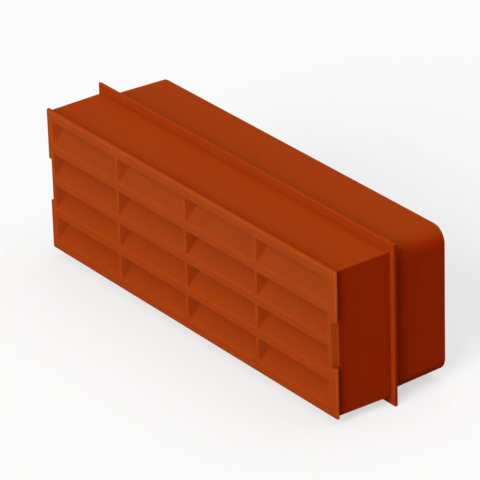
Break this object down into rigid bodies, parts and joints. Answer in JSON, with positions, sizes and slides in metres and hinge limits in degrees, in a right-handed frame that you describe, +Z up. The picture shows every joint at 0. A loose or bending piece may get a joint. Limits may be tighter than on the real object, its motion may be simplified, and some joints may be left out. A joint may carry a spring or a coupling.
{
  "type": "louvred airbrick",
  "caption": "Rectangular built-in airbrick: louvred face plate with end notches on a shallow box, thin flange all round, and a rounded open spigot behind.",
  "frame": {"origin": "under the middle of the whole brick, level with the foot of the flange", "axes": "+X along the face to its right-hand end as seen from outside, +Y into the wall, +Z up; the louvred face looks along -Y"},
  "size_m": [0.2184, 0.0626, 0.0781],
  "materials": {
    "terracotta_plastic": "terracotta coloured moulded plastic with a fine satin texture"
  },
  "bodies": {
    "root": {"airbrick": "terracotta_plastic"}
  },
  "joints": []
}
